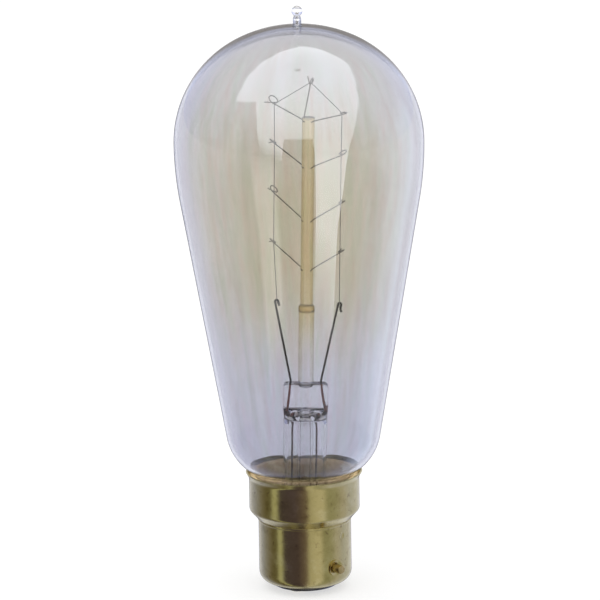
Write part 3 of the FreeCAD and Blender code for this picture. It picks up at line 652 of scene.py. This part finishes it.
# Nodes whose shape is right keep it and get their finish here, by the start of their name
finishes = {"cap_shell": "brass", "bayonet_pin": "contact", "cap_insulator": "insulator",
            "contact_plate": "contact", "contact_solder": "solder", "filament": "filament",
            "anchor": "anchor", "inner_lead": "lead", "seal_wire": "seal", "outer_lead": "tail"}
remade = {"anchor_" + place for place in anchors["eyes"]}
finished = 0
for name, node in nodes.items():
    for start, look in finishes.items():
        if name.startswith(start) and name not in remade:
            node.data.materials.clear()
            node.data.materials.append(looks[look])
            finished += 1
print("finishes set on", finished, "nodes")


# Camera, at the photograph's viewing angle. Focal length and aim are in pixels of its 600 by 600 frame.

photoView = {"azimuth": 50, "elevation": 14.9, "roll": 0.889, "focal": 5296.0, "aim": (2.23, 55.08),
             "frame": 600, "distance": 1.25, "height": 0.05}


def placeCamera():
    azimuth, elevation, roll = (math.radians(photoView[a]) for a in ("azimuth", "elevation", "roll"))
    focal, (aimX, aimY) = photoView["focal"], photoView["aim"]
    back = Vector((math.sin(azimuth) * math.cos(elevation), -math.cos(azimuth) * math.cos(elevation),
                   math.sin(elevation)))
    right = Vector((math.cos(azimuth), math.sin(azimuth), 0))
    up = back.cross(right)
    tiltedUp = up * math.cos(roll) + right * math.sin(roll)
    tiltedRight = right * math.cos(roll) - up * math.sin(roll)
    forward = (-back - tiltedRight * (aimX / focal) + tiltedUp * (aimY / focal)).normalized()
    sideways = forward.cross(tiltedUp).normalized()
    upwards = sideways.cross(forward)
    place = back * photoView["distance"] + Vector((0, 0, photoView["height"]))
    data = bpy.data.cameras.new("photoCamera")
    data.sensor_width = 36
    data.lens = focal / photoView["frame"] * data.sensor_width
    data.clip_start, data.clip_end = 0.05, 20
    camera = bpy.data.objects.new("photoCamera", data)
    camera.matrix_world = Matrix((
        (sideways.x, upwards.x, -forward.x, place.x), (sideways.y, upwards.y, -forward.y, place.y),
        (sideways.z, upwards.z, -forward.z, place.z), (0, 0, 0, 1)))
    scene.collection.objects.link(camera)
    scene.camera = camera


placeCamera()
print("camera placed")


# Light. Turns go round the lamp in degrees, from the camera's side towards the right of the picture.

def turnRound(g, parts):
    # The turn of a direction, as a share of the way from -180 to 180 degrees
    angle = g.math("ARCTAN2", parts[1], parts[0])
    start = 0.5 + (90 - photoView["azimuth"]) / 360
    return g.math("FRACT", g.math("ADD", g.math("DIVIDE", angle, 2 * pi), start))


def turned(stops):
    return [((degrees + 180) / 360, value) for degrees, value in stops]


# What the brass and the glass's edges mirror: a studio with dark and pale walls
room = {
    "walls": [(-160, (0.40, 0.42, 0.52)), (-130, (0.21, 0.23, 0.38)), (-100, (0.12, 0.114, 0.12)),
              (-88, (0.08, 0.073, 0.05)), (-76, (0.075, 0.07, 0.05)), (-68, (0.30, 0.32, 0.28)),
              (-62, (0.28, 0.30, 0.26)), (-54, (0.045, 0.038, 0.06)), (-18, (0.045, 0.035, 0.055)),
              (4, (0.10, 0.08, 0.09)), (10, (0.28, 0.28, 0.27)), (38, (0.35, 0.35, 0.36)),
              (50, (0.19, 0.20, 0.18)), (70, (0.22, 0.23, 0.23)), (88, (0.29, 0.295, 0.38)),
              (112, (0.285, 0.31, 0.46)), (160, (0.42, 0.44, 0.54))],
    "ceiling": (0.34, 0.34, 0.35), "farWall": [(0.41, (0.09, 0.09, 0.11)), (0.45, (0.18, 0.172, 0.168))],
    "daylight": (0.52, 0.52, 0.52), "strength": 2.0}


def paintWorld():
    g = Graph("", bpy.data.worlds.new("studio"))
    parts = g.split(g.node("ShaderNodeTexCoord").outputs["Generated"])
    turn = turnRound(g, parts)
    height = g.math("ADD", g.math("MULTIPLY", parts[2], 0.5), 0.5)
    walls = g.ramp(turn, turned(room["walls"]), "LINEAR")
    seen = g.mix(g.ramp(height, [(0.62, 0.0), (0.85, 1.0)]), walls, room["ceiling"])
    # The far wall is dark, which draws the thin edge of the glass
    behind = g.ramp(turn, turned([(-172, 1.0), (-160, 0.0), (160, 0.0), (172, 1.0)]))
    behind = g.math("MULTIPLY", behind, g.ramp(height, [(0.60, 1.0), (0.66, 0.0)]))
    seen = g.mix(behind, seen, g.ramp(height, room["farWall"]))
    path = g.node("ShaderNodeLightPath")
    soft = g.math("MAXIMUM", path.outputs["Is Diffuse Ray"], path.outputs["Is Camera Ray"])
    inputs = {"Color": g.mix(soft, seen, room["daylight"]), "Strength": room["strength"]}
    g.finish(g.node("ShaderNodeBackground", inputs).outputs[0], "ShaderNodeOutputWorld")
    scene.world = g.owner


paintWorld()


def softLight(name, place, size, energy, receivers=None):
    # A square lamp that looks at the origin and is seen in nothing
    data = bpy.data.lights.new(name, "AREA")
    data.size = size
    data.energy = energy
    lamp = bpy.data.objects.new(name, data)
    lamp.location = place
    lamp.rotation_euler = Vector(place).to_track_quat("Z", "Y").to_euler()
    lamp.visible_camera = False
    lamp.visible_transmission = False
    lamp.visible_glossy = False
    if receivers:
        lamp.light_linking.receiver_collection = receivers
    scene.collection.objects.link(lamp)


def gathered(name, wanted):
    group = bpy.data.collections.new(name)
    for made in list(scene.objects):
        if wanted(made.name):
            group.objects.link(made)
    return group


neckPieces = gathered("neckPieces", lambda name: name == "neckCement")
softLight("softAbove", place=(0.2, -0.2, 1.4), size=1.2, energy=2.3)
softLight("intoTheNeck", place=(0.75, -0.63, 0.75), size=0.5, energy=22.0, receivers=neckPieces)

# The studio's windows, on a round screen in millimetres that shines only in the glass. A sill gives the
# height, in degrees, where the window's light starts at each turn.
windows = {
    "centre": 110.0, "radius": 1000.0, "strength": 6.0, "tone": (0.96, 1.0, 1.07),
    "lower": 5.6, "upper": 4.0, "crisp": 2.5, "blurred": 16.0,
    "sill": [(-180, 57), (-169, 59), (-145, 62.5), (-114, 58.6), (-89.5, 47.5), (-80, 37.5), (-56, 45),
             (-45, 32), (-41, 20), (-36.5, 6), (-30, -2), (-15.5, -6), (-14.5, 15.5), (13.6, 15.5),
             (15, -35.3), (38, -35.3), (42, -16), (46, 4), (54, 16.7), (64, 29), (87, 44.8), (110, 50.6),
             (127, 51.8), (143, 55), (180, 55.5)],
    "beside": [(78, 0.0), (100, (0.12, 0.155, 0.18)), (122, (0.12, 0.155, 0.18)), (136, 0.0)],
    "faint": [(-45, 0.0), (-41, 0.36), (-24, 0.36), (-19, 0.0)]}


def windowLight():
    g = Graph("windowLight")
    parts = g.split(g.place())
    turn = turnRound(g, parts)
    sine = g.math("DIVIDE", g.math("SUBTRACT", parts[2], windows["centre"] * mm), windows["radius"] * mm)
    rise = g.math("MULTIPLY", g.math("ARCSINE", sine), 180 / pi)
    upright = g.math("DIVIDE", g.math("ADD", rise, 90), 180)
    # Main window: above its sill, with one soft stretch
    sill = g.ramp(turn, turned([(a, (h + 90) / 180) for a, h in windows["sill"]]), "LINEAR")
    above = g.math("SUBTRACT", rise, g.math("SUBTRACT", g.math("MULTIPLY", sill, 180), 90))
    crisp, blurred = windows["crisp"] / 20, windows["blurred"] / 20
    width = g.ramp(turn, turned([(-40, crisp), (-33, blurred), (-17, blurred), (-15, crisp)]), "LINEAR")
    share = g.math("DIVIDE", above, g.math("MULTIPLY", width, 20), True)
    level = g.ramp(upright, [(0.44, windows["lower"] / windows["strength"]),
                             (0.60, windows["upper"] / windows["strength"])])
    pane = g.times(g.mix(share, (0, 0, 0), level), windows["tone"])
    # Two fainter panes, low down beside it
    low = g.ramp(g.math("DIVIDE", rise, 90), [(0.0, 1.0), (0.3, 0.0)])
    beside = g.mix(low, (0, 0, 0), g.ramp(turn, turned(windows["beside"])))
    band = g.ramp(upright, [(0.302, 0.0), (0.308, 1.0), (0.40, 1.0), (0.50, 0.0)], "LINEAR")
    faint = g.mix(band, (0, 0, 0), g.ramp(turn, turned(windows["faint"]), "LINEAR"))
    lit = g.mix(1.0, g.mix(1.0, pane, beside, "ADD"), faint, "ADD")
    shine = g.node("ShaderNodeEmission", {"Color": lit, "Strength": windows["strength"]})
    clear = g.node("ShaderNodeBsdfTransparent")
    material = g.finish(g.node("ShaderNodeAddShader", {0: shine.outputs[0], 1: clear.outputs[0]}).outputs[0])
    material.cycles.emission_sampling = "NONE"
    return material


def makeWindows():
    dome = arcPoints((0, windows["centre"]), windows["radius"], math.radians(88), math.radians(-60), 48)
    screen = lathe("windowScreen", [dome], 96)
    screen.data.materials.append(windowLight())
    screen.visible_camera = False
    screen.visible_diffuse = False
    screen.visible_transmission = False
    screen.visible_shadow = False
    glassy = gathered("glassPieces", lambda name: name.endswith("Glass") or name == "glassBulb")
    screen.light_linking.receiver_collection = glassy


makeWindows()

paleFloor = {"radius": 6, "gap": 0.00002, "greys": [(0.3, 0.44), (0.7, 0.46)], "glow": 0.6}


def makeFloor():
    g = Graph("paleFloor")
    cloud = g.noise(g.place(), 6, 3, 0.5)
    surface = g.surface(Base_Color=g.ramp(cloud, paleFloor["greys"]), Roughness=0.9, Specular_IOR_Level=0.0,
                        Emission_Color=(1, 1, 1, 1), Emission_Strength=paleFloor["glow"])
    level = cadBox[0].z - paleFloor["gap"]
    bpy.ops.mesh.primitive_circle_add(vertices=128, radius=paleFloor["radius"], fill_type="NGON",
                                      location=(0, 0, level))
    floor = bpy.context.object
    floor.name = "floor"
    floor.data.materials.append(g.finish(surface))
    floor.visible_glossy = False


makeFloor()

scene.view_settings.view_transform = "Standard"
scene.cycles.max_bounces = 24
scene.cycles.transmission_bounces = 24
scene.cycles.transparent_max_bounces = 24
print("stage set")
